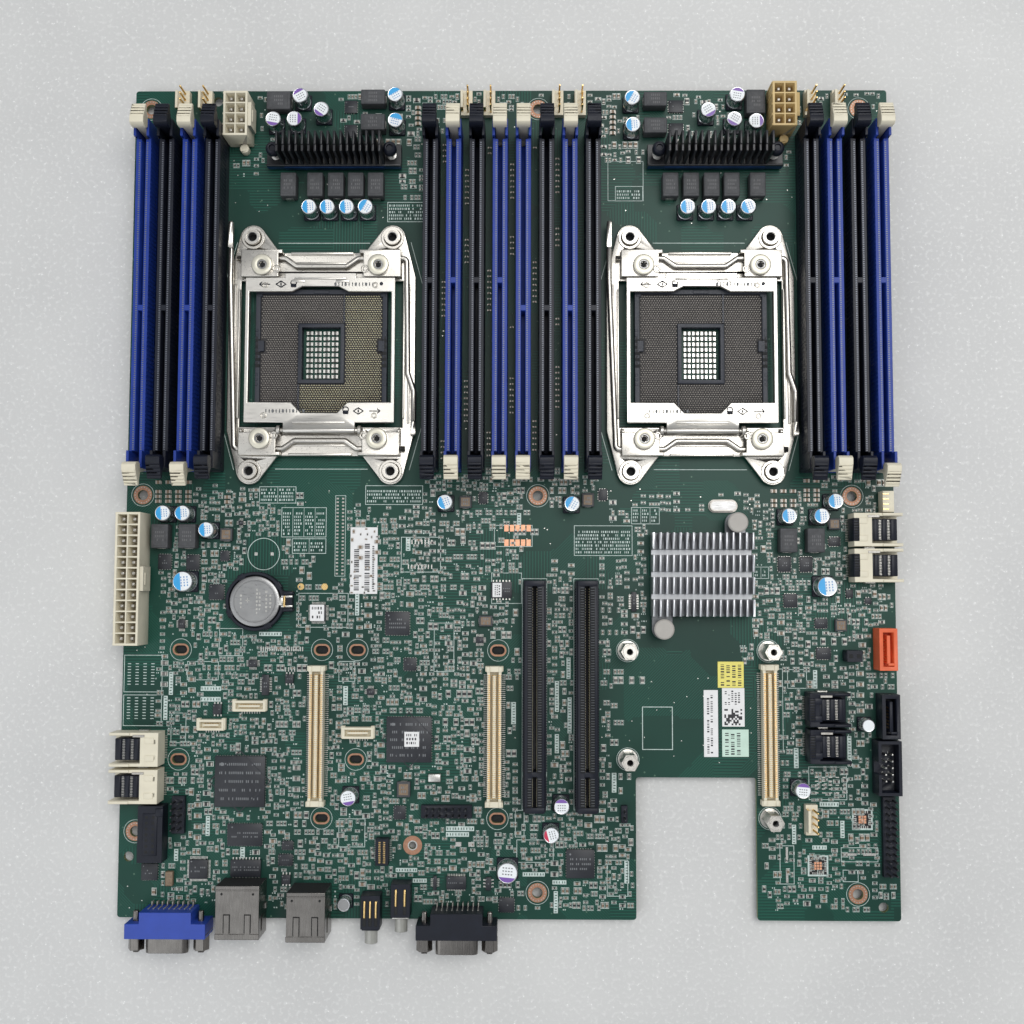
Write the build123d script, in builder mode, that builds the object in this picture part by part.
"""Two-socket server motherboard, EEB size.

The part's frame: +X runs to the right along the rear edge, +Y runs from the rear edge with the ports
to the front edge, +Z points away from the component side. The origin is the datum mounting hole at the
rear edge, on the underside of the board. Places on the board are given from its rear left corner, and
level(), end_view() and on_board() turn them into the part's frame.
"""

import os
from math import cos, radians, sin

from build123d import *

os.makedirs("parts", exist_ok=True)

# Circuit board
board_width = 304.8
board_depth = 330.2
board_thickness = 2.0
board_corner_radius = 1.2
notch_left = 202.3
notch_width = 47.0
notch_depth = 54.7
datum_x = 163.83
datum_y = 10.16
mounting_hole_radius = 2.0
hole_column_right = 288.29
hole_row_middle = 165.1
hole_row_front = board_depth - 7.62
slotted_hole_width = 3.2
slotted_hole_length = 5.0
tooling_hole_radius = 1.9

# Memory slots
slot_pitch = 9.144
slot_width = 6.1
slot_rail_length = 126.8
slot_rail_width = 2.05
slot_gap = 1.7
slot_rail_height = 14.2
slot_base_height = 5.6
slot_floor = 0.5
slot_centre_y = 243.0
slot_key_offset = 5.5
slot_key_length = 2.2
tower_length = 6.6
tower_height = 17.5
cheek_thickness = 1.05
latch_pivot_inset = 3.0
latch_pivot_height = 4.6
latch_pin_radius = 1.0
latch_stem_width = 3.5
latch_head_width = 5.4
latch_head_base = 13.6
latch_top = 19.4
latch_thumb_reach = 6.9
latch_rest_tilt = 9.0
latch_ribs = 4
first_rib = 1.4
rib_pitch = 1.35
rib_radius = 0.28
running_clearance = 0.08

# Processor sockets
socket_centres = [(77.5, 221.4), (228.4, 221.4)]
stud_spacing_x = 56.0
stud_spacing_y = 94.0
stud_radius = 3.2
stud_shank_radius = 2.8
stud_bore_radius = 2.0
stud_top = 5.2
screw_spacing_x = 46.0
screw_spacing_y = 69.2
screw_head_radius = 4.2
screw_shank_radius = 1.6
frame_half_width = 37.4
frame_sheet = 1.5
frame_base = 1.8
frame_window_half_width = 32.4
frame_window_half_depth = 29.4
pad_base = 6.4
pad_sheet = 1.2
frame_wall = 1.2
frame_wall_x = 31.8
frame_wall_y = 41.0
socket_body_width = 52.4
socket_body_depth = 51.4
socket_body_height = 4.4
socket_recess_depth = 1.2
load_plate_half_width = 29.6
load_plate_thickness = 1.5
load_plate_height = 7.05
load_plate_pivot = 31.2
load_plate_roll_radius = 1.2
hinge_pin_radius = 0.8
lever_axis_y = 38.2
lever_axis_height = 4.8
lever_rod_radius = 1.1
lever_crank = 3.2
lever_bend = 1.7
lever_overhang = 2.0
crank_outer = 14.6
crank_inner = 10.0
tab_width = 1.8
tab_thickness = 2.4

# Coin cell
cell_diameter = 20.0
cell_thickness = 3.2
cell_clearance = 0.35
cell_centre = (52.7, 123.0)
holder_wall = 1.25
holder_floor = 1.3
holder_height = 4.1

# Riser slots
riser_columns = [162.6, 182.9]
riser_centre_y = 87.0
riser_length = 89.0
riser_width = 8.8
riser_top_width = 7.5
riser_height = 11.2
riser_gap = 1.8
riser_gap_depth = 8.3
riser_key_y = 57.2
riser_key_length = 1.9
riser_shoulder = 8.2
riser_end_wall = 1.6

# Power headers, four-millimetre-class cells in two columns
cell_pitch = 4.2
power_header_width = 9.6
power_header_end = 0.6
power_header_height = 13.0
power_cell = 3.5
power_cell_depth = 9.5
power_pin = 1.1

# Heat sinks
chipset_sink_centre = (227.9, 133.9)
chipset_sink_width = 39.4
chipset_sink_depth = 32.6
chipset_sink_base = 2.2
chipset_sink_height = 9.0
chipset_fin_count = 16
chipset_fin = 0.9
chipset_channel = 2.0
chipset_sink_seat = 2.0
push_pin_radius = 3.9
vrm_sink_length = 54.0
vrm_sink_base_depth = 9.0
vrm_sink_base = 3.0
vrm_sink_height = 19.0
vrm_sink_seat = 1.6
vrm_fin_count = 17
vrm_fin = 0.9


def level(height):
    """Plane parallel to the board, this far above its component side."""
    return Plane((-datum_x, -datum_y, board_thickness + height))


def end_view(y):
    """Upright plane at board y, facing the rear: its x runs along the board's width, its y runs up."""
    return Plane((-datum_x, y - datum_y, board_thickness), x_dir=(1, 0, 0), z_dir=(0, -1, 0))


def on_board(x, y, height=0.0):
    """A place on the board as a point of the part's frame."""
    return (x - datum_x, y - datum_y, board_thickness + height)


def corners(spacing_x, spacing_y):
    """The four corners of a rectangle around the origin."""
    return [(side_x * spacing_x / 2, side_y * spacing_y / 2) for side_x in (-1, 1) for side_y in (-1, 1)]


# Circuit board
ear_corners = corners(stud_spacing_x, stud_spacing_y)
screw_corners = corners(screw_spacing_x, screw_spacing_y)
corner_sides = corners(2, 2)
mounting_holes = [
    (datum_x, datum_y),
    (hole_column_right, datum_y),
    (6.35, 33.02),
    (6.35, hole_row_middle),
    (datum_x, hole_row_middle),
    (hole_column_right, hole_row_middle),
    (6.35, hole_row_front),
    (datum_x, hole_row_front),
    (293.6, hole_row_front),
]
slotted_holes = [
    (22.8, 103.9),
    (22.8, 61.0),
    (78.7, 103.9),
    (92.7, 103.9),
    (148.3, 103.9),
    (92.5, 61.2),
    (79.3, 38.4),
    (148.2, 38.5),
]
plated_hole = (115.1, 28.1)
plated_hole_radius = 1.4
tooling_holes = [(4.0, 23.3), (298.1, 5.2), (33.5, board_depth - 4.4)]
mezzanine_standoffs = [(199.2, 104.0), (199.2, 61.7), (254.5, 104.0), (254.5, 39.1)]
standoff_shank_radius = 1.9
chipset_pins = [(241.3, 154.1), (212.5, 112.7)]
vrm_sink_centres = [(81.8, 301.6), (234.6, 301.6)]
vrm_pin_reach = 23.2
vrm_pins = [(x + side * vrm_pin_reach, y) for x, y in vrm_sink_centres for side in (-1, 1)]
pin_leg_radius = 1.4
socket_stud_places = [(x + dx, y + dy) for x, y in socket_centres for dx, dy in ear_corners]
socket_screw_places = [(x + dx, y + dy) for x, y in socket_centres for dx, dy in screw_corners]

with BuildPart() as circuit_board:
    with BuildSketch(level(-board_thickness)):
        with Locations((board_width / 2, board_depth / 2)):
            Rectangle(board_width, board_depth)
        with Locations((notch_left + notch_width / 2, notch_depth / 2)):
            Rectangle(notch_width, notch_depth, mode=Mode.SUBTRACT)
        fillet(vertices(), board_corner_radius)
        with Locations(*mounting_holes):
            Circle(mounting_hole_radius, mode=Mode.SUBTRACT)
        with Locations(*tooling_holes):
            Circle(tooling_hole_radius, mode=Mode.SUBTRACT)
        with Locations(*slotted_holes):
            SlotOverall(slotted_hole_length, slotted_hole_width, mode=Mode.SUBTRACT)
        with Locations(plated_hole):
            Circle(plated_hole_radius, mode=Mode.SUBTRACT)
        with Locations(*mezzanine_standoffs):
            Circle(standoff_shank_radius + running_clearance, mode=Mode.SUBTRACT)
        with Locations(*chipset_pins, *vrm_pins):
            Circle(pin_leg_radius + running_clearance, mode=Mode.SUBTRACT)
        with Locations(*socket_stud_places):
            Circle(stud_shank_radius + running_clearance, mode=Mode.SUBTRACT)
        with Locations(*socket_screw_places):
            Circle(screw_shank_radius + running_clearance, mode=Mode.SUBTRACT)
    extrude(amount=board_thickness)


# Memory slots and their latches
latch_pivot_reach = slot_rail_length / 2 + latch_pivot_inset
slot_end = latch_pivot_reach + 2.2
slot_inner_end = slot_rail_length / 2 - 1.6
pocket_length = 12.0
bore_radius = latch_pin_radius + running_clearance
pocket_width = slot_width - 2 * cheek_thickness


def dimm_housing(key_offset):
    """One slot housing around the origin: two contact rails, a key bridge and a latch tower at each end."""
    with BuildPart() as housing:
        with BuildSketch():
            Rectangle(slot_width, 2 * slot_end)
        extrude(amount=slot_base_height)
        with BuildSketch():
            rail_offset = (slot_gap + slot_rail_width) / 2
            with Locations((-rail_offset, 0), (rail_offset, 0)):
                Rectangle(slot_rail_width, slot_rail_length)
            with Locations((0, key_offset)):
                Rectangle(slot_gap, slot_key_length)
        extrude(amount=slot_rail_height)
        with BuildSketch():
            for end in (-1, 1):
                with Locations((0, end * (slot_end - tower_length / 2))):
                    Rectangle(slot_width, tower_length)
        extrude(amount=tower_height)
        with BuildSketch(Plane.XY.offset(slot_floor)):
            for end in (-1, 1):
                with Locations((0, end * (slot_inner_end + pocket_length / 2))):
                    Rectangle(pocket_width, pocket_length)
        extrude(amount=tower_height, mode=Mode.SUBTRACT)
        with BuildSketch(Plane.YZ):
            for end in (-1, 1):
                with Locations((end * latch_pivot_reach, latch_pivot_height)):
                    Circle(bore_radius)
        extrude(amount=slot_width, both=True, mode=Mode.SUBTRACT)
    return housing


def latch_plane(x, end, tilt):
    """Plane on a latch's pivot: its x points out of the slot, its y points up, both turned by the tilt."""
    return Plane(
        on_board(x, slot_centre_y + end * latch_pivot_reach, latch_pivot_height),
        x_dir=(0, end * cos(radians(tilt)), -sin(radians(tilt))),
        z_dir=(end, 0, 0),
    )


def dimm_latch(x, end, tilt):
    """One module latch: a stem with an ejector foot, a hooked head with a ribbed thumb rest, and a pin."""
    plane = latch_plane(x, end, tilt)
    stem = [
        (-3.0, -3.2),
        (1.8, -3.2),
        (2.2, 0.0),
        (2.2, latch_head_base),
        (-1.6, latch_head_base),
        (-1.6, -1.0),
        (-3.0, -2.0),
    ]
    thumb_low = latch_top - 4.0
    head = [
        (-1.6, latch_head_base),
        (2.2, latch_head_base),
        (4.6, thumb_low - 0.4),
        (latch_thumb_reach, thumb_low),
        (latch_thumb_reach, thumb_low + 1.3),
        (0.8, latch_top),
        (-1.3, latch_top),
        (-2.2, latch_top - 1.2),
        (-2.2, latch_head_base + 1.6),
    ]
    with BuildPart() as latch:
        with BuildSketch(plane):
            Polygon(*stem, align=None)
        extrude(amount=latch_stem_width / 2, both=True)
        with BuildSketch(plane):
            Polygon(*head, align=None)
        extrude(amount=latch_head_width / 2, both=True)
        with BuildSketch(plane):
            Circle(latch_pin_radius)
        extrude(amount=slot_width / 2 - 0.2, both=True)
        with BuildSketch(plane):
            for rib in range(latch_ribs):
                along = first_rib + rib * rib_pitch
                drop = (along - 0.8) * (latch_top - thumb_low - 1.3) / (latch_thumb_reach - 0.8)
                with Locations((along, latch_top - drop)):
                    Circle(rib_radius)
        extrude(amount=latch_head_width / 2 - 0.3, both=True)
    return latch


first_columns = [8.1, 121.3, 270.7]
slots_in_group = [4, 8, 4]
blue_in_group = [(0, 2), (1, 3, 4, 6), (1, 3)]
key_toward_front = [(), (0, 1, 2, 3), (0, 1, 2, 3)]
slot_columns = []
for group, first in enumerate(first_columns):
    for place in range(slots_in_group[group]):
        colour = "blue" if place in blue_in_group[group] else "black"
        key = 1 if place in key_toward_front[group] else -1
        slot_columns.append((first + place * slot_pitch, colour, key))

housings = {key: dimm_housing(key * slot_key_offset) for key in (-1, 1)}
slot_groups = {}
for wanted in ("blue", "black"):
    with BuildPart() as dimm_slots:
        for x, colour, key in slot_columns:
            if colour == wanted:
                with Locations(on_board(x, slot_centre_y)):
                    add(housings[key].part)
    slot_groups[wanted] = dimm_slots

tilted_rear_latches = (1, 3, 16)
latches = {}
for number, (x, colour, key) in enumerate(slot_columns, start=1):
    latches[f"latch_{number:02d}_front"] = dimm_latch(x, 1, 0.0)
    rear_tilt = latch_rest_tilt if number in tilted_rear_latches else 0.0
    latches[f"latch_{number:02d}_rear"] = dimm_latch(x, -1, rear_tilt)


# Processor sockets
pin_field_width = 48.8
pin_field_depth = 47.8
cavity_width = 15.4
cavity_depth = 21.0

with BuildPart() as cpu_sockets:
    for x, y in socket_centres:
        with BuildSketch(level(0)):
            with Locations((x, y)):
                Rectangle(socket_body_width, socket_body_depth)
        extrude(amount=socket_body_height)
        with BuildSketch(level(socket_body_height - socket_recess_depth)):
            with Locations((x, y)):
                Rectangle(pin_field_width, pin_field_depth)
                Rectangle(cavity_width + 3, cavity_depth + 3, mode=Mode.SUBTRACT)
        extrude(amount=socket_recess_depth, mode=Mode.SUBTRACT)
        with BuildSketch(level(0)):
            with Locations((x, y)):
                Rectangle(cavity_width, cavity_depth)
        extrude(amount=socket_body_height, mode=Mode.SUBTRACT)


pad_inner_x = 17.0
pad_inner_y = 30.2
bracket_x = 15.3
bracket_thickness = 1.4
bracket_radius = 1.9
ear_radius = 5.2
frame_body_half_depth = 30.0
stud_clearance = 0.1
ear_outline = [
    (0, 28.0),
    (frame_half_width, 28.0),
    (frame_half_width, 31.0),
    (33.1, 48.2),
    (24.0, 50.2),
    (pad_inner_x, frame_wall_y),
    (0, frame_wall_y),
]
pad_middle_x = (pad_inner_x + frame_wall_x) / 2
pad_middle_y = (pad_inner_y + frame_wall_y) / 2

with BuildPart() as socket_frame:
    with BuildSketch(Plane.XY.offset(frame_base)):
        Rectangle(2 * frame_half_width, 2 * frame_body_half_depth)
        for side_x, side_y in corner_sides:
            Polygon(*[(side_x * px, side_y * py) for px, py in ear_outline], align=None)
        with Locations(*ear_corners):
            Circle(ear_radius)
        Rectangle(2 * frame_window_half_width, 2 * frame_window_half_depth, mode=Mode.SUBTRACT)
        with Locations(*ear_corners):
            Circle(stud_radius + stud_clearance, mode=Mode.SUBTRACT)
    extrude(amount=frame_sheet)
    with BuildSketch(Plane.XY.offset(pad_base)):
        for side_x, side_y in corner_sides:
            with Locations((side_x * pad_middle_x, side_y * pad_middle_y)):
                Rectangle(frame_wall_x - pad_inner_x, frame_wall_y - pad_inner_y)
    extrude(amount=pad_sheet)
    with BuildSketch(Plane.XY.offset(frame_base)):
        for side_x, side_y in corner_sides:
            end_wall_x = side_x * (frame_wall_x + bracket_x) / 2
            with Locations((end_wall_x, side_y * (frame_wall_y - frame_wall / 2))):
                Rectangle(frame_wall_x - bracket_x, frame_wall)
            with Locations((side_x * (frame_wall_x - frame_wall / 2), side_y * pad_middle_y)):
                Rectangle(frame_wall, frame_wall_y - pad_inner_y)
    extrude(amount=pad_base + pad_sheet - frame_base)
    for side_x in (-1, 1):
        with BuildSketch(Plane.YZ.offset(side_x * bracket_x)):
            with Locations((-load_plate_pivot, load_plate_height)):
                Circle(bracket_radius)
            with Locations((-load_plate_pivot, (frame_base + load_plate_height) / 2)):
                Rectangle(2 * bracket_radius, load_plate_height - frame_base)
        extrude(amount=side_x * bracket_thickness)
    with BuildSketch(Plane.YZ):
        with Locations((-load_plate_pivot, load_plate_height)):
            Circle(hinge_pin_radius + running_clearance)
        with Locations((-lever_axis_y, lever_axis_height), (lever_axis_y, lever_axis_height)):
            Circle(lever_rod_radius + running_clearance)
    extrude(amount=frame_half_width, both=True, mode=Mode.SUBTRACT)
    with BuildSketch():
        with Locations(*screw_corners):
            Circle(screw_shank_radius + running_clearance)
    extrude(amount=pad_base + pad_sheet + 1, mode=Mode.SUBTRACT)

with BuildPart() as ilm_frames:
    for x, y in socket_centres:
        with Locations(on_board(x, y)):
            add(socket_frame.part)

window_rear = -20.1
window_front = 24.1
window_step = 4.2
step_half_width = 7.2
step_slope = 4.0
plate_rear = -28.2
plate_front = 29.8
tongue_half_width = 14.2
tongue_front = 31.6
side_rail = 1.4
side_rail_depth = 3.6
window_half_width = load_plate_half_width - side_rail


def load_plate(x, y):
    """The hinged plate that presses on a processor's edges, closed over its socket."""
    middle = Plane(on_board(x, y, load_plate_height))
    window = [
        (-window_half_width, window_rear),
        (-step_half_width - step_slope, window_rear),
        (-step_half_width, window_rear - window_step),
        (step_half_width, window_rear - window_step),
        (step_half_width + step_slope, window_rear),
        (window_half_width, window_rear),
        (window_half_width, window_front),
        (step_half_width + step_slope, window_front),
        (step_half_width, window_front + window_step / 2),
        (-step_half_width, window_front + window_step / 2),
        (-step_half_width - step_slope, window_front),
        (-window_half_width, window_front),
    ]
    with BuildPart() as plate:
        with BuildSketch(middle.offset(-load_plate_thickness / 2)):
            with Locations((0, (plate_rear + plate_front) / 2)):
                Rectangle(2 * load_plate_half_width, plate_front - plate_rear)
            with Locations((0, (tongue_front - load_plate_pivot) / 2)):
                Rectangle(2 * tongue_half_width, tongue_front + load_plate_pivot)
            Polygon(*window, align=None, mode=Mode.SUBTRACT)
        extrude(amount=load_plate_thickness)
        with BuildSketch(middle.offset(load_plate_thickness / 2 - side_rail_depth)):
            for side in (-1, 1):
                rail_x = side * (load_plate_half_width - side_rail / 2)
                with Locations((rail_x, (window_rear + window_front) / 2)):
                    Rectangle(side_rail, window_front - window_rear)
        extrude(amount=side_rail_depth)
        with BuildSketch(Plane(middle.origin, x_dir=(0, 1, 0), z_dir=(1, 0, 0))):
            with Locations((-load_plate_pivot, 0)):
                Circle(load_plate_roll_radius)
        extrude(amount=tongue_half_width, both=True)
        with BuildSketch(Plane(middle.origin, x_dir=(0, 1, 0), z_dir=(1, 0, 0))):
            with Locations((-load_plate_pivot, 0)):
                Circle(hinge_pin_radius)
        extrude(amount=bracket_x + bracket_thickness + 0.3, both=True)
    return plate


def lever(x, y, arm_points, arm_side, pivot_side, tab_length):
    """A bent rod: the cranked axle along one end of the frame, the arm along its side and a finger tab."""
    axle_y = pivot_side * lever_axis_y
    crank_y = axle_y - pivot_side * lever_crank
    route = [
        (-arm_side * (frame_wall_x + lever_overhang), axle_y),
        (-arm_side * crank_outer, axle_y),
        (-arm_side * crank_inner, crank_y),
        (arm_side * crank_inner, crank_y),
        (arm_side * crank_outer, axle_y),
        *arm_points,
    ]
    axle_level = Plane(on_board(x, y, lever_axis_height))
    end_x, end_y = route[-1]
    with BuildPart() as rod:
        with BuildLine(axle_level) as centre_line:
            FilletPolyline(*route, radius=lever_bend)
        start = centre_line.line @ 0
        along = centre_line.line % 0
        with BuildSketch(Plane(start, z_dir=along)):
            Circle(lever_rod_radius)
        sweep(path=centre_line.line)
        with BuildSketch(axle_level.offset(-tab_thickness / 3)):
            with Locations((end_x, end_y - pivot_side * tab_length / 2)):
                RectangleRounded(tab_width, tab_length, 0.7)
        extrude(amount=tab_thickness)
    return rod


ilm_levers = {}
load_plates = {}
left_arm = [(-33.9, -lever_axis_y), (-36.4, 30.0), (-36.4, 42.0)]
right_arm = [(33.9, lever_axis_y), (34.6, -8.0), (37.0, -15.0), (37.0, -27.0)]
for number, (x, y) in enumerate(socket_centres, start=1):
    load_plates[f"load_plate_{number}"] = load_plate(x, y)
    ilm_levers[f"hinge_lever_{number}"] = lever(x, y, left_arm, -1, -1, 11.0)
    ilm_levers[f"lock_lever_{number}"] = lever(x, y, right_arm, 1, 1, 6.0)

backplate_thickness = 2.2
backplate_seat = board_thickness + backplate_thickness
backplate_rim = 6.0
backplate_window = (30, 40)
stud_shoulder = 0.1
stud_bore_depth = 9.0
with BuildPart() as backplates:
    for x, y in socket_centres:
        with BuildSketch(level(-backplate_seat)):
            with Locations((x, y)):
                RectangleRounded(
                    stud_spacing_x + 2 * backplate_rim, stud_spacing_y + 2 * backplate_rim, backplate_rim
                )
                RectangleRounded(*backplate_window, 3, mode=Mode.SUBTRACT)
        extrude(amount=backplate_thickness)
    with BuildSketch(level(-backplate_seat)):
        with Locations(*socket_stud_places):
            Circle(stud_shank_radius)
    extrude(amount=backplate_seat + frame_base)
    with BuildSketch(level(stud_shoulder)):
        with Locations(*socket_stud_places):
            Circle(stud_radius)
    extrude(amount=stud_top - stud_shoulder)
    with BuildSketch(level(stud_top - stud_bore_depth)):
        with Locations(*socket_stud_places):
            Circle(stud_bore_radius)
    extrude(amount=stud_bore_depth, mode=Mode.SUBTRACT)
    with BuildSketch(level(-backplate_seat)):
        with Locations(*socket_screw_places):
            Circle(screw_shank_radius + running_clearance)
    extrude(amount=backplate_thickness, mode=Mode.SUBTRACT)

# Collar screws of the socket frames, and hexagonal stand-offs for a mezzanine card
screw_head_height = 1.8
screw_seat = pad_base + pad_sheet
screw_recess_radius = 1.5
screw_recess_depth = 1.2
standoff_height = 11.0
standoff_across_corners = 7.0
standoff_bore_radius = 1.5
standoff_bore_depth = 7.0
with BuildPart() as screws_and_standoffs:
    with BuildSketch(level(screw_seat)):
        with Locations(*socket_screw_places):
            Circle(screw_head_radius)
    extrude(amount=screw_head_height)
    with BuildSketch(level(-backplate_seat)):
        with Locations(*socket_screw_places):
            Circle(screw_shank_radius)
    extrude(amount=backplate_seat + screw_seat)
    with BuildSketch(level(screw_seat + screw_head_height - screw_recess_depth)):
        with Locations(*socket_screw_places):
            RegularPolygon(screw_recess_radius, 6)
    extrude(amount=screw_recess_depth, mode=Mode.SUBTRACT)
    with BuildSketch(level(0)):
        with Locations(*mezzanine_standoffs):
            RegularPolygon(standoff_across_corners / 2, 6)
    extrude(amount=standoff_height)
    with BuildSketch(level(-board_thickness)):
        with Locations(*mezzanine_standoffs):
            Circle(standoff_shank_radius)
    extrude(amount=board_thickness)
    with BuildSketch(level(standoff_height - standoff_bore_depth)):
        with Locations(*mezzanine_standoffs):
            Circle(standoff_bore_radius)
    extrude(amount=standoff_bore_depth, mode=Mode.SUBTRACT)


# Coin cell and its holder
holder_radius = cell_diameter / 2 + cell_clearance + holder_wall
holder_chip = 6.0
holder_chip_gap = 1.4
holder_chip_x = cell_centre[0] - holder_radius - holder_chip_gap - holder_chip / 2
contact_x = cell_centre[0] + cell_diameter / 2 + cell_clearance + 1.4
contact_rise = 1.0
cell_foot_inset = 1.2
cell_foot = 0.5
with BuildPart() as coin_cell_holder:
    with BuildSketch(level(0)):
        with Locations(cell_centre):
            Circle(holder_radius)
        with Locations((cell_centre[0] + holder_radius, cell_centre[1])):
            Rectangle(6.0, 8.0)
    extrude(amount=holder_height)
    with BuildSketch(level(holder_floor)):
        with Locations(cell_centre):
            Circle(cell_diameter / 2 + cell_clearance)
    extrude(amount=holder_height, mode=Mode.SUBTRACT)
    with BuildSketch(level(holder_floor)):
        with Locations((contact_x, cell_centre[1])):
            Rectangle(0.6, 4.4)
    extrude(amount=holder_height - holder_floor + contact_rise)

with BuildPart() as coin_cell:
    with BuildSketch(level(holder_floor)):
        with Locations(cell_centre):
            Circle(cell_diameter / 2 - cell_foot_inset)
    extrude(amount=cell_foot)
    with BuildSketch(level(holder_floor + cell_foot)):
        with Locations(cell_centre):
            Circle(cell_diameter / 2)
    extrude(amount=cell_thickness - cell_foot)
    fillet(edges().filter_by(GeomType.CIRCLE).sort_by(Axis.Z)[-1], 0.4)


# Riser slots
with BuildPart() as pcie_slots:
    for x in riser_columns:
        with BuildSketch(level(0)):
            with Locations((x, riser_centre_y)):
                Rectangle(riser_width, riser_length)
        extrude(amount=riser_shoulder)
        with BuildSketch(level(0)):
            with Locations((x, riser_centre_y)):
                Rectangle(riser_top_width, riser_length)
        extrude(amount=riser_height)
        with BuildSketch(level(riser_height - riser_gap_depth)):
            with Locations((x, riser_centre_y)):
                Rectangle(riser_gap, riser_length - 2 * riser_end_wall)
            with Locations((x, riser_key_y)):
                Rectangle(riser_gap, riser_key_length, mode=Mode.SUBTRACT)
        extrude(amount=riser_gap_depth, mode=Mode.SUBTRACT)


# Power headers: centre x, centre y, cells along the board's depth, side of the catch
main_header_y = 131.7
front_header_left_y = board_depth - 14.3
front_header_right_y = board_depth - 10.6
power_headers_at = [
    (4.9, main_header_y, 12),
    (43.7, front_header_left_y, 4),
    (260.9, front_header_right_y, 4),
]
power_pin_recess = 1.5
catch_thickness = 1.3
catch_width = 9.6
catch_height = 10.0
catch_drop = 1.0
peg_x = 1.6
peg_reach = 1.8
with BuildPart() as power_headers:
    for x, y, cells in power_headers_at:
        length = cells * cell_pitch + 2 * power_header_end
        with BuildSketch(level(0)):
            with Locations((x, y)):
                Rectangle(power_header_width, length)
        extrude(amount=power_header_height)
        with BuildSketch(level(power_header_height - power_cell_depth)):
            with Locations((x, y)):
                with GridLocations(cell_pitch, cell_pitch, 2, cells):
                    Rectangle(power_cell, power_cell)
        extrude(amount=power_cell_depth, mode=Mode.SUBTRACT)
        with BuildSketch(level(power_header_height - power_cell_depth)):
            with Locations((x, y)):
                with GridLocations(cell_pitch, cell_pitch, 2, cells):
                    Rectangle(power_pin, power_pin)
        extrude(amount=power_cell_depth - power_pin_recess)
        with BuildSketch(level(power_header_height - catch_height)):
            with Locations((x + (power_header_width + catch_thickness) / 2, y)):
                Rectangle(catch_thickness, catch_width)
        extrude(amount=catch_height - catch_drop)
    for x, y, cells in power_headers_at[1:]:
        rear_face = y - cells * cell_pitch / 2 - power_header_end
        with BuildSketch(level(0)):
            with Locations((x + peg_x, rear_face - peg_reach)):
                Circle(1.8)
        extrude(amount=3.4)
        with BuildSketch(level(0)):
            with Locations((x + peg_x, rear_face - peg_reach / 3)):
                Rectangle(1.6, peg_reach)
        extrude(amount=3.0)


# Chipset heat sink: a base with two ears, and fins cut by cross channels
sink_y = chipset_sink_centre[1]
sink_blocks = 4
fin_pitch = (chipset_sink_width - chipset_fin) / (chipset_fin_count - 1)
block_depth = (chipset_sink_depth - (sink_blocks - 1) * chipset_channel) / sink_blocks
ear_half_width = 4.0
chipset_package = (25, 26)
with BuildPart() as chipset_heatsink:
    with BuildSketch(level(chipset_sink_seat)):
        with Locations(chipset_sink_centre):
            Rectangle(chipset_sink_width, chipset_sink_depth)
        for pin_x, pin_y in chipset_pins:
            toward = 1 if pin_y > sink_y else -1
            edge_y = sink_y + toward * chipset_sink_depth / 2
            with Locations((pin_x, pin_y)):
                Circle(ear_half_width)
            with Locations((pin_x, (pin_y + edge_y) / 2)):
                Rectangle(2 * ear_half_width, abs(pin_y - edge_y) + 0.2)
        with Locations(*chipset_pins):
            Circle(pin_leg_radius + running_clearance, mode=Mode.SUBTRACT)
    extrude(amount=chipset_sink_base)
    with BuildSketch(level(chipset_sink_seat + chipset_sink_base)):
        with Locations(chipset_sink_centre):
            with GridLocations(fin_pitch, block_depth + chipset_channel, chipset_fin_count, sink_blocks):
                Rectangle(chipset_fin, block_depth)
    extrude(amount=chipset_sink_height - chipset_sink_base)
    with BuildSketch(level(0)):
        with Locations(chipset_sink_centre):
            Rectangle(*chipset_package)
    extrude(amount=chipset_sink_seat)

# Regulator heat sinks: a base bar with an ear at each end and a comb of fins
vrm_fin_span = 40.0
vrm_fin_depth = 8.0
transistor_row = (40, 6)
vrm_fin_pitch = vrm_fin_span / (vrm_fin_count - 1)
with BuildPart() as vrm_heatsinks:
    for x, y in vrm_sink_centres:
        with BuildSketch(level(vrm_sink_seat)):
            with Locations((x, y)):
                Rectangle(vrm_sink_length, vrm_sink_base_depth)
            with Locations((x - vrm_pin_reach, y), (x + vrm_pin_reach, y)):
                Circle(pin_leg_radius + running_clearance, mode=Mode.SUBTRACT)
        extrude(amount=vrm_sink_base)
        with BuildSketch(level(vrm_sink_seat + vrm_sink_base)):
            with Locations((x, y)):
                with GridLocations(vrm_fin_pitch, 1, vrm_fin_count, 1):
                    Rectangle(vrm_fin, vrm_fin_depth)
        extrude(amount=vrm_sink_height - vrm_sink_base)
        with BuildSketch(level(0)):
            with Locations((x, y - 1)):
                Rectangle(*transistor_row)
        extrude(amount=vrm_sink_seat)

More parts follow.
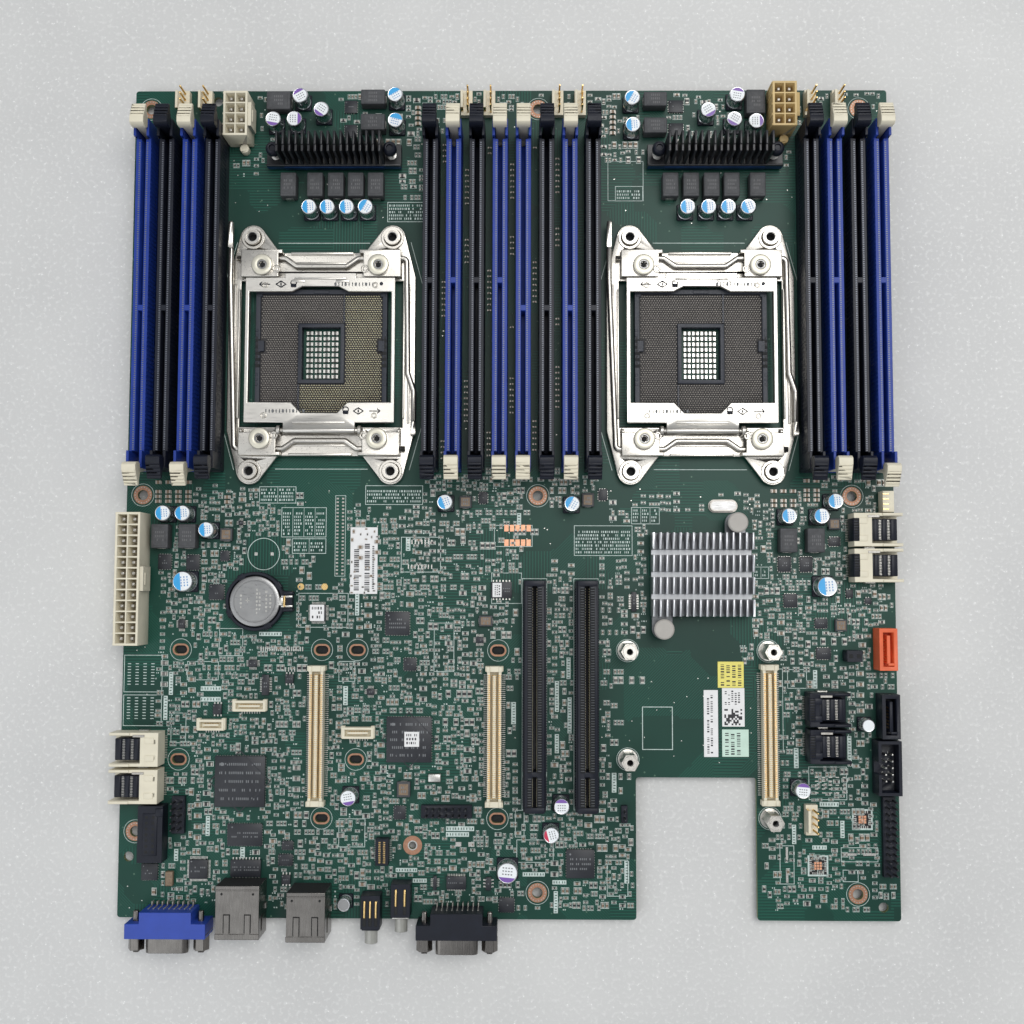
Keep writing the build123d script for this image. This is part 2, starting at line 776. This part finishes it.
# Push pins: a leg through the board, a coil spring's sleeve and a domed cap
chipset_pin_seat = chipset_sink_seat + chipset_sink_base
vrm_pin_seat = vrm_sink_seat + vrm_sink_base
vrm_cap_radius = 2.7
vrm_sleeve_radius = 2.0
vrm_sleeve_height = 6.0
vrm_cap_height = 3.4
chipset_sleeve_radius = 2.9
chipset_sleeve_height = 5.0
chipset_cap_height = 2.2
with BuildPart() as push_pins:
    with BuildSketch(level(-board_thickness)):
        with Locations(*chipset_pins):
            Circle(pin_leg_radius)
    extrude(amount=board_thickness + chipset_pin_seat)
    with BuildSketch(level(chipset_pin_seat)):
        with Locations(*chipset_pins):
            Circle(chipset_sleeve_radius)
    extrude(amount=chipset_sleeve_height)
    with BuildSketch(level(chipset_pin_seat + chipset_sleeve_height)):
        with Locations(*chipset_pins):
            Circle(push_pin_radius)
    extrude(amount=chipset_cap_height)
    with BuildSketch(level(-board_thickness)):
        with Locations(*vrm_pins):
            Circle(pin_leg_radius)
    extrude(amount=board_thickness + vrm_pin_seat)
    with BuildSketch(level(vrm_pin_seat)):
        with Locations(*vrm_pins):
            Circle(vrm_sleeve_radius)
    extrude(amount=vrm_sleeve_height)
    with BuildSketch(level(vrm_pin_seat + vrm_sleeve_height)):
        with Locations(*vrm_pins):
            Circle(vrm_cap_radius)
    extrude(amount=vrm_cap_height)


# Mezzanine connectors: centre x, centre y
mezzanine_at = [(77.3, 70.7), (146.9, 70.7), (254.2, 71.7)]
mezzanine_width = 5.6
mezzanine_length = 54.4
mezzanine_height = 4.6
mezzanine_end = mezzanine_length / 2 - 1
mezzanine_floor = 1.0
mezzanine_wall = 1.1
mezzanine_tongue = 1.3
with BuildPart() as mezzanine_connectors:
    for x, y in mezzanine_at:
        with BuildSketch(level(0)):
            with Locations((x, y)):
                Rectangle(mezzanine_width, mezzanine_length)
            with Locations((x, y - mezzanine_end), (x, y + mezzanine_end)):
                Rectangle(mezzanine_width + 1.4, 2.0)
        extrude(amount=mezzanine_height)
        with BuildSketch(level(mezzanine_floor)):
            with Locations((x, y)):
                Rectangle(mezzanine_width - 2 * mezzanine_wall, mezzanine_length - 4 * mezzanine_wall)
                Rectangle(mezzanine_tongue, mezzanine_length - 7.0, mode=Mode.SUBTRACT)
        extrude(amount=mezzanine_height, mode=Mode.SUBTRACT)


# Capacitors: polymer cans, by size
can_height = 8.8
small_can_radius = 3.15
large_can_radius = 4.0
small_cans = [
    (72.6, 279.5), (79.9, 279.5), (87.6, 279.5), (95.1, 279.5),
    (222.9, 279.5), (231.2, 279.5), (239.0, 279.5), (246.9, 279.5),
    (106.5, 325.2), (106.7, 314.7), (201.2, 323.8), (201.4, 312.8),
    (17.0, 157.4), (24.7, 157.4), (34.1, 150.9), (127.4, 161.9), (177.1, 161.4),
    (261.6, 156.8), (274.2, 156.8), (279.7, 162.6),
    (68.5, 324.9), (57.8, 315.2), (66.3, 315.3), (77.0, 319.1),
    (243.0, 325.0), (231.5, 318.7), (241.8, 315.0), (250.5, 314.2),
    (90.8, 47.6), (173.0, 44.8), (265.6, 51.2), (169.0, 33.9),
]
large_cans = [(25.3, 130.7), (276.0, 129.4), (152.2, 19.6)]
slim_cans = [(291.5, 75.8), (89.4, 6.9)]
slim_can_radius = 2.6
slim_can_height = 7.0
can_rim = 0.35
with BuildPart() as capacitors:
    with BuildSketch(level(0)):
        with Locations(*small_cans):
            Circle(small_can_radius)
        with Locations(*large_cans):
            Circle(large_can_radius)
    extrude(amount=can_height)
    with BuildSketch(level(0)):
        with Locations(*slim_cans):
            Circle(slim_can_radius)
    extrude(amount=slim_can_height)
    chamfer(faces().filter_by(Axis.Z).group_by(Axis.Z)[-1].edges(), can_rim)


# Chokes: centre x, centre y, width, depth
choke_height = 6.0
choke_rim = 0.4
chokes_at = [
    (63.7, 289.5, 6.3, 9.7), (74.4, 289.5, 6.3, 9.7), (82.7, 289.5, 6.3, 9.7), (90.7, 289.5, 6.3, 9.7),
    (98.7, 289.5, 6.3, 9.7), (216.6, 289.4, 6.3, 9.7), (224.8, 289.4, 6.3, 9.7), (233.0, 289.4, 6.3, 9.7),
    (241.0, 289.4, 6.3, 9.7), (251.3, 289.4, 6.3, 9.7), (59.3, 324.0, 9.6, 7.4), (97.3, 325.4, 9.7, 6.0),
    (97.3, 315.1, 9.7, 6.6), (210.7, 324.4, 9.2, 5.8), (210.7, 313.6, 9.2, 6.3), (250.9, 323.3, 7.6, 9.7),
    (15.1, 148.5, 6.8, 9.5), (25.9, 148.5, 6.8, 9.5), (261.9, 147.4, 6.8, 9.4), (272.6, 147.4, 6.8, 9.4),
]
small_choke_height = 2.6
small_chokes_at = [
    (40.5, 149.3, 4.8, 5.0), (135.2, 162.4, 4.8, 4.8), (183.6, 163.3, 4.8, 5.4), (280.7, 154.0, 4.6, 4.4),
    (282.7, 114.2, 4.6, 4.7), (143.4, 115.5, 5.4, 4.2), (111.6, 50.0, 5.2, 6.0),
]


def blocks(rows, height, base=0.0):
    """One upright block per row of centre x, centre y, width and depth."""
    with BuildPart() as group:
        with BuildSketch(level(base)):
            for x, y, width, depth in rows:
                with Locations((x, y)):
                    Rectangle(width, depth)
        extrude(amount=height)
    return group


tall_choke_blocks = blocks(chokes_at, choke_height)
low_choke_blocks = blocks(small_chokes_at, small_choke_height)
with BuildPart() as chokes:
    add(tall_choke_blocks.part)
    chamfer(faces().filter_by(Axis.Z).group_by(Axis.Z)[-1].edges(), choke_rim)
    add(low_choke_blocks.part)

# Chips: centre x, centre y, width, depth, by the height of the package
large_chips = [(47.4, 52.7, 19.6, 19.6), (113.5, 69.1, 17.6, 17.6), (180.5, 21.6, 10.9, 10.9)]
flat_chips = [
    (108.5, 114.4, 9.6, 9.2), (holder_chip_x, 126.6, holder_chip, holder_chip), (263.4, 123.8, 5.4, 5.4),
    (39.7, 140.9, 3.6, 4.0),
    (275.3, 114.9, 5.0, 4.0), (276.1, 103.1, 5.7, 4.6), (12.5, 17.6, 6.4, 6.4), (142.1, 164.2, 3.6, 4.6),
    (189.6, 165.5, 3.6, 4.6), (281.0, 147.1, 4.6, 3.6), (15.9, 138.5, 5.2, 6.0), (27.1, 138.3, 5.2, 6.0),
    (261.2, 138.1, 5.2, 6.0), (269.7, 138.1, 5.0, 6.0), (87.8, 323.3, 5.0, 5.2), (87.8, 313.3, 5.0, 5.0),
    (219.5, 323.3, 6.0, 5.0), (219.5, 313.8, 6.0, 5.0), (49.5, 32.0, 13.6, 8.6), (293.9, 123.8, 2.6, 2.6),
    (286.6, 126.6, 2.8, 3.4), (110.0, 40.8, 4.6, 5.2), (65.6, 22.4, 5.6, 4.4), (66.3, 28.0, 4.4, 3.4),
    (113.6, 98.4, 5.0, 5.0), (151.9, 5.6, 6.0, 5.6),
]
lead_frame_chips = [
    (31.7, 18.8, 8.8, 8.8), (50.2, 19.2, 13.4, 6.6), (132.3, 14.1, 9.2, 5.0), (201.7, 123.2, 3.6, 7.6),
    (56.8, 90.2, 4.4, 8.0), (77.2, 118.5, 7.6, 7.8), (149.5, 127.7, 9.8, 6.4), (51.6, 98.6, 5.0, 4.2),
    (66.2, 92.6, 4.8, 3.6), (38.0, 80.6, 5.0, 4.0), (23.2, 114.0, 4.2, 5.0), (98.2, 87.6, 4.6, 3.8),
    (141.0, 108.0, 4.6, 3.8), (66.0, 15.0, 5.0, 3.6), (46.0, 154.0, 3.4, 3.0), (124.0, 14.0, 3.0, 5.2),
    (144.8, 13.8, 3.8, 5.0),
]
tall_packages = [(237.1, 161.1, 10.8, 4.4), (123.6, 54.4, 5.0, 3.2), (20.6, 15.3, 3.0, 5.6)]
large_chip_height = 1.7
flat_chip_height = 0.9
lead_frame_height = 1.5
tall_package_height = 2.4
large_chip_blocks = blocks(large_chips, large_chip_height)
flat_chip_blocks = blocks(flat_chips, flat_chip_height)
lead_frame_blocks = blocks(lead_frame_chips, lead_frame_height)
tall_package_blocks = blocks(tall_packages, tall_package_height)
with BuildPart() as ic_packages:
    add(large_chip_blocks.part)
    add(flat_chip_blocks.part)
    add(lead_frame_blocks.part)
    add(tall_package_blocks.part)


# Storage ports: centre x, centre y and the side that the mouth faces
storage_port_length = 19.0
storage_port_width = 13.0
storage_port_height = 9.0
storage_mouth_depth = 12.0
storage_mouth_width = 10.6
storage_block = (10.0, 8.2)
storage_block_height = 6.2
storage_port_wall = 1.2
black_port_length = 15.8
storage_ports_at = [
    (7.8, 65.8, -1, storage_port_length),
    (7.8, 51.6, -1, storage_port_length),
    (board_width - 8.8, 151.5, 1, storage_port_length),
    (board_width - 8.8, 137.6, 1, storage_port_length),
    (276.4, 81.9, 1, black_port_length),
    (276.4, 67.8, 1, black_port_length),
]
with BuildPart() as mini_sas_ports:
    for x, y, mouth_side, length in storage_ports_at:
        mouth_x = x + mouth_side * (length - storage_mouth_depth) / 2
        with BuildSketch(level(0)):
            with Locations((x, y)):
                Rectangle(length, storage_port_width)
        extrude(amount=storage_port_height)
        with BuildSketch(level(storage_port_wall)):
            with Locations((mouth_x, y)):
                Rectangle(storage_mouth_depth, storage_mouth_width)
        extrude(amount=storage_port_height, mode=Mode.SUBTRACT)
        with BuildSketch(level(storage_port_wall)):
            with Locations((mouth_x - mouth_side * 1.0, y)):
                Rectangle(*storage_block)
        extrude(amount=storage_block_height)


# Upright and board-edge connectors. Data ports along the right edge: centre x, centre y, width, depth
right_edge = board_width
data_port_height = 8.6
data_mouth_depth = 6.0
data_tongue = 1.2
data_ports = [(right_edge - 5.6, 105.1, 7.0, 16.2), (right_edge - 5.0, 79.3, 7.0, 17.0)]
box_header = (right_edge - 5.8, 59.7, 9.0, 20.8)
box_header_height = 8.9
box_floor = 2.4
box_wall = 1.2
box_pin_length = 5.4
strip_header = (right_edge - 4.6, 32.6, 5.0, 30.6)
strip_header_height = 8.3
strip_base_height = 2.5
wafer_connectors = [(51.0, 82.1, 12.6, 4.2), (36.0, 74.7, 10.4, 4.2), (93.6, 71.8, 12.2, 4.4)]
wafer_height = 3.6
wafer_floor = 1.0
wafer_tongue = 0.8
side_wafer = (right_edge - 3.9, 162.7, 4.4, 8.2)
fan_header = (270.0, 39.1, 5.8, 11.6)
pair_header = (286.8, 102.4, 6.0, 4.4)
module_header = (14.4, 33.3, 9.6, 21.6)
debug_header = (23.7, 39.9, 5.0, 14.4)
board_to_board = (103.6, 26.3, 5.0, 10.0)
edge_strip_header = (128.4, 41.5, 19.8, 5.0)
jumper_header = (197.6, 40.8, 2.4, 6.6)
front_fan_columns = [20.4, 29.6, 134.9, 144.1, 171.6, 180.7, 273.3, 284.4]
front_fan_y = board_depth - 6.3
fan_base_width = 4.6
fan_base_length = 10.2
fan_base_height = 3.2
fan_wall_height = 7.6
fan_pin_height = 11.2
pin_width = 0.64
pin_pitch = 2.54
pin_rows = [
    (*debug_header[:2], 2, 5),
    (*edge_strip_header[:2], 7, 2),
    (*jumper_header[:2], 1, 2),
]
fan_headers = [(column, front_fan_y, fan_base_length) for column in front_fan_columns]
fan_headers.append((*fan_header[:2], fan_header[3]))
row_blocks = [
    blocks([module_header], 7.6),
    blocks([debug_header, edge_strip_header, jumper_header], strip_base_height),
    blocks([board_to_board], 4.6),
    blocks([pair_header], 6.4),
    blocks([side_wafer], 6.0),
]

with BuildPart() as pin_headers:
    for x, y, width, depth in data_ports:
        with BuildSketch(level(0)):
            with Locations((x, y)):
                Rectangle(width, depth)
        extrude(amount=data_port_height)
        with BuildSketch(level(data_port_height - data_mouth_depth)):
            with Locations((x, y)):
                Rectangle(width - 2.8, depth - 3.0)
                Rectangle(data_tongue, depth - 5.4, mode=Mode.SUBTRACT)
        extrude(amount=data_mouth_depth, mode=Mode.SUBTRACT)
    for x, y, width, depth in wafer_connectors:
        with BuildSketch(level(0)):
            with Locations((x, y)):
                Rectangle(width, depth)
        extrude(amount=wafer_height)
        with BuildSketch(level(wafer_floor)):
            with Locations((x, y)):
                Rectangle(width - 1.8, depth - 1.8)
                Rectangle(width - 4.2, wafer_tongue, mode=Mode.SUBTRACT)
        extrude(amount=wafer_height, mode=Mode.SUBTRACT)
    x, y, width, depth = box_header
    with BuildSketch(level(0)):
        with Locations((x, y)):
            Rectangle(width, depth)
    extrude(amount=box_header_height)
    with BuildSketch(level(box_floor)):
        with Locations((x, y)):
            Rectangle(width - 2 * box_wall, depth - 2 * box_wall)
        with Locations((x - width / 2, y)):
            Rectangle(3.0, 4.6)
    extrude(amount=box_header_height, mode=Mode.SUBTRACT)
    with BuildSketch(level(box_floor)):
        with Locations((x, y)):
            with GridLocations(pin_pitch, pin_pitch, 2, 5):
                Rectangle(pin_width, pin_width)
    extrude(amount=box_pin_length)
    x, y, width, depth = strip_header
    with BuildSketch(level(0)):
        with Locations((x, y)):
            Rectangle(width, depth)
    extrude(amount=strip_base_height)
    with BuildSketch(level(strip_base_height)):
        with Locations((x, y)):
            with GridLocations(pin_pitch, pin_pitch, 2, 12):
                Rectangle(pin_width, pin_width)
    extrude(amount=strip_header_height - strip_base_height)
    for row_x, row_y, count_x, count_y in pin_rows:
        with BuildSketch(level(strip_base_height)):
            with Locations((row_x, row_y)):
                with GridLocations(pin_pitch, pin_pitch, count_x, count_y):
                    Rectangle(pin_width, pin_width)
        extrude(amount=strip_header_height - strip_base_height)
    for x, y, length in fan_headers:
        with BuildSketch(level(0)):
            with Locations((x, y)):
                Rectangle(fan_base_width, length)
        extrude(amount=fan_base_height)
        with BuildSketch(level(fan_base_height)):
            with Locations((x - fan_base_width / 2 + 0.5, y)):
                Rectangle(1.0, length - 3.0)
        extrude(amount=fan_wall_height - fan_base_height)
        with BuildSketch(level(fan_base_height)):
            with Locations((x + 0.6, y)):
                with GridLocations(1, pin_pitch, 1, 4):
                    Rectangle(pin_width, pin_width)
        extrude(amount=fan_pin_height - fan_base_height)
    for group in row_blocks:
        add(group.part)


# Rear edge: two D-shell ports with jack screws, then the jacks and lights
d_port_height = 12.4
d_port_plate = 0.8
d_shell_reach = 5.9
d_shell_wall = 0.5
jack_screw_spacing = 25.0
jack_screw_across = 5.4
jack_screw_reach = 5.4
d_port_columns = [22.3, 133.0]
d_port_body_width = 30.8
d_port_body_depth = 4.8
d_port_rear = -4.0
shell_height = 8.3
shell_wide = 16.9
shell_slope = 80
shell_corner = 2.0
mouth_wide = shell_wide - 2 * d_shell_wall
mouth_height = shell_height - 2 * d_shell_wall
with BuildPart() as d_sub_ports:
    for x in d_port_columns:
        with BuildSketch(level(0)):
            with Locations((x, d_port_rear + d_port_body_depth / 2)):
                Rectangle(d_port_body_width, d_port_body_depth)
            with Locations((x, d_port_rear + d_port_body_depth + 1.8)):
                Rectangle(d_port_body_width - 11, 5.0)
        extrude(amount=d_port_height)
        with BuildSketch(end_view(d_port_rear)):
            with Locations((x, d_port_height / 2)):
                Rectangle(d_port_body_width, d_port_height)
        extrude(amount=d_port_plate)
        with BuildSketch(end_view(d_port_rear - d_port_plate)):
            with Locations((x, d_port_height / 2)):
                Trapezoid(shell_wide, shell_height, shell_slope, rotation=180)
                fillet(vertices(), shell_corner)
        extrude(amount=d_shell_reach)
        with BuildSketch(end_view(d_port_rear - d_port_plate)):
            with Locations((x, d_port_height / 2)):
                Trapezoid(mouth_wide, mouth_height, shell_slope, rotation=180)
                fillet(vertices(), shell_corner - d_shell_wall)
        extrude(amount=d_shell_reach, mode=Mode.SUBTRACT)
        with BuildSketch(end_view(d_port_rear - d_port_plate)):
            for side in (-1, 1):
                with Locations((x + side * jack_screw_spacing / 2, d_port_height / 2)):
                    RegularPolygon(jack_screw_across / 2, 6, major_radius=False)
        extrude(amount=jack_screw_reach)

lan_width = 16.6
lan_height = 13.5
lan_x = 50.0
lan_rear = -4.6
lan_depth = 20.0
lan_mouth_width = 11.9
lan_mouth_height = 8.0
lan_mouth_depth = 13.0
lan_mouth_middle = 5.6
usb_width = 14.6
usb_height = 15.8
usb_x = 76.4
usb_rear = -4.8
usb_depth = 18.4
usb_mouth_width = 12.6
usb_mouth_height = 5.2
usb_mouth_depth = 12.0
usb_mouth_middles = [4.4, 11.6]
usb_tongue = (11.0, 1.9)
usb_tongue_rise = 0.8
light_ports = [(99.8, 4.4), (111.3, 8.8)]
light_block_width = 7.4
light_block_depth = 12.6
light_block_height = 8.4
lens_radius = 2.5
lens_reach = 6.0
with BuildPart() as rear_jacks:
    with BuildSketch(end_view(lan_rear + lan_depth)):
        with Locations((lan_x, lan_height / 2)):
            Rectangle(lan_width, lan_height)
    extrude(amount=lan_depth)
    with BuildSketch(end_view(lan_rear + lan_mouth_depth)):
        with Locations((lan_x, lan_mouth_middle)):
            Rectangle(lan_mouth_width, lan_mouth_height)
    extrude(amount=lan_mouth_depth, mode=Mode.SUBTRACT)
    with BuildSketch(end_view(usb_rear + usb_depth)):
        with Locations((usb_x, usb_height / 2)):
            Rectangle(usb_width, usb_height)
    extrude(amount=usb_depth)
    with BuildSketch(end_view(usb_rear + usb_mouth_depth)):
        for middle in usb_mouth_middles:
            with Locations((usb_x, middle)):
                Rectangle(usb_mouth_width, usb_mouth_height)
            with Locations((usb_x, middle + usb_tongue_rise)):
                Rectangle(*usb_tongue, mode=Mode.SUBTRACT)
    extrude(amount=usb_mouth_depth, mode=Mode.SUBTRACT)
    for x, y in light_ports:
        with BuildSketch(level(0)):
            with Locations((x, y)):
                Rectangle(light_block_width, light_block_depth)
        extrude(amount=light_block_height)
        with BuildSketch(end_view(y - light_block_depth / 2)):
            with Locations((x, light_block_height / 2)):
                Circle(lens_radius)
        extrude(amount=lens_reach)


pieces = {
    "circuit_board": circuit_board,
    "dimm_slots_blue": slot_groups["blue"],
    "dimm_slots_black": slot_groups["black"],
    "cpu_sockets": cpu_sockets,
    "ilm_frames": ilm_frames,
    "backplates": backplates,
    "screws_and_standoffs": screws_and_standoffs,
    "coin_cell_holder": coin_cell_holder,
    "coin_cell": coin_cell,
    "pcie_slots": pcie_slots,
    "power_headers": power_headers,
    "chipset_heatsink": chipset_heatsink,
    "vrm_heatsinks": vrm_heatsinks,
    "push_pins": push_pins,
    "mezzanine_connectors": mezzanine_connectors,
    "capacitors": capacitors,
    "chokes": chokes,
    "ic_packages": ic_packages,
    "mini_sas_ports": mini_sas_ports,
    "pin_headers": pin_headers,
    "d_sub_ports": d_sub_ports,
    "rear_jacks": rear_jacks,
    **load_plates,
    **ilm_levers,
    **latches,
}
for name, piece in pieces.items():
    piece.part.label = name
    export_step(piece.part, f"parts/{name}.step")
